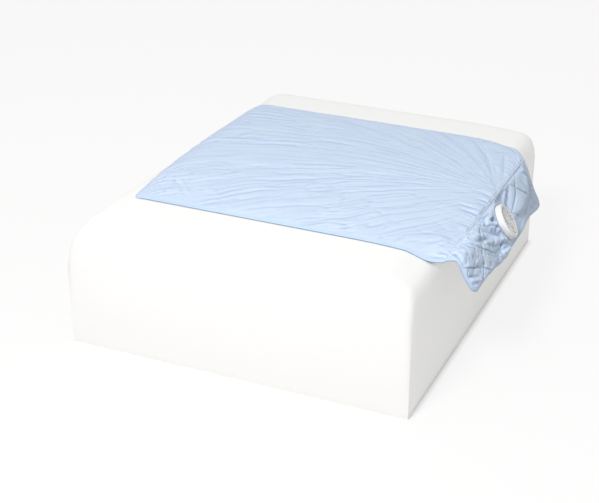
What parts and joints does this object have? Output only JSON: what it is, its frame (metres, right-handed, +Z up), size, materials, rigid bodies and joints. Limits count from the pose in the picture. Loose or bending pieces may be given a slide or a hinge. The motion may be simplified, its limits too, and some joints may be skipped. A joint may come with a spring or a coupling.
{
  "type": "bed cooling mat",
  "caption": "Light-blue cooling mat for a bed, with a quilted flap that hangs over the mattress edge and holds a round white fan unit with a slotted cover and push buttons.",
  "frame": {"origin": "centre of the main panel's flat underside, where it lies on the mattress", "axes": "+X across the bed towards the fan flap, +Y along the bed towards the pillow, +Z up"},
  "size_m": [1.1275, 0.8584, 0.2088],
  "materials": {
    "cool_cloth": "smooth cool-touch knit, light blue",
    "binding_tape": "folded woven tape, light blue",
    "spacer_mesh": "open three-dimensional spacer knit, off-white",
    "backing_cloth": "plain woven backing, off-white",
    "white_plastic": "fine satin ABS, white",
    "grey_plastic": "satin ABS, grey",
    "black_plastic": "nylon, black",
    "foam_rubber": "closed-cell foam, black",
    "zinc_steel": "bright zinc plate",
    "bronze": "sintered bronze",
    "copper": "enamelled copper on laminations",
    "ferrite": "moulded ferrite, dark grey",
    "circuit_board": "solder mask, green",
    "lens_plastic": "clear moulded light pipe, green tint"
  },
  "bodies": {
    "mat": {"bottom_cover": "backing_cloth", "spacer_core": "spacer_mesh", "top_cover": "cool_cloth", "panel_binding": "binding_tape", "fold_seam": "binding_tape"},
    "flap": {"flap_inner_cover": "backing_cloth", "flap_core": "spacer_mesh", "flap_outer_cover": "cool_cloth", "flap_binding": "binding_tape", "gasket": "foam_rubber", "clamp_ring": "grey_plastic", "clamp_screw_1": "zinc_steel", "clamp_screw_2": "zinc_steel", "clamp_screw_3": "zinc_steel", "clamp_screw_4": "zinc_steel", "fan_housing": "white_plastic", "front_grille": "white_plastic", "dc_socket": "black_plastic", "control_board": "circuit_board", "power_switch": "black_plastic", "speed_switch": "black_plastic", "led_lens": "lens_plastic", "motor_bracket": "white_plastic", "motor_bearing": "bronze", "stator": "copper", "motor_lead": "black_plastic"},
    "impeller": {"impeller": "grey_plastic", "rotor_magnet": "ferrite", "motor_shaft": "zinc_steel"},
    "power_button": {"power_button": "white_plastic"},
    "speed_button": {"speed_button": "white_plastic"}
  },
  "joints": [
    {"name": "flap_fold", "type": "hinge", "parent": "mat", "child": "flap", "pos_m": [0.538, 0, -0.0142], "axis": [0, -1, 0], "range_deg": [0, 60]},
    {"name": "fan_spin", "type": "hinge", "parent": "flap", "child": "impeller", "pos_m": [0.58481, -0.00573, -0.0724], "axis": [0.8272, 0.165, 0.5372], "continuous": true},
    {"name": "power_press", "type": "slide", "parent": "flap", "child": "power_button", "axis": [-0.8272, -0.165, -0.5372], "range_m": [0, 0.0007], "stiffness_N_per_m": 1500},
    {"name": "speed_press", "type": "slide", "parent": "flap", "child": "speed_button", "axis": [-0.8272, -0.165, -0.5372], "range_m": [0, 0.0007], "stiffness_N_per_m": 1500}
  ]
}
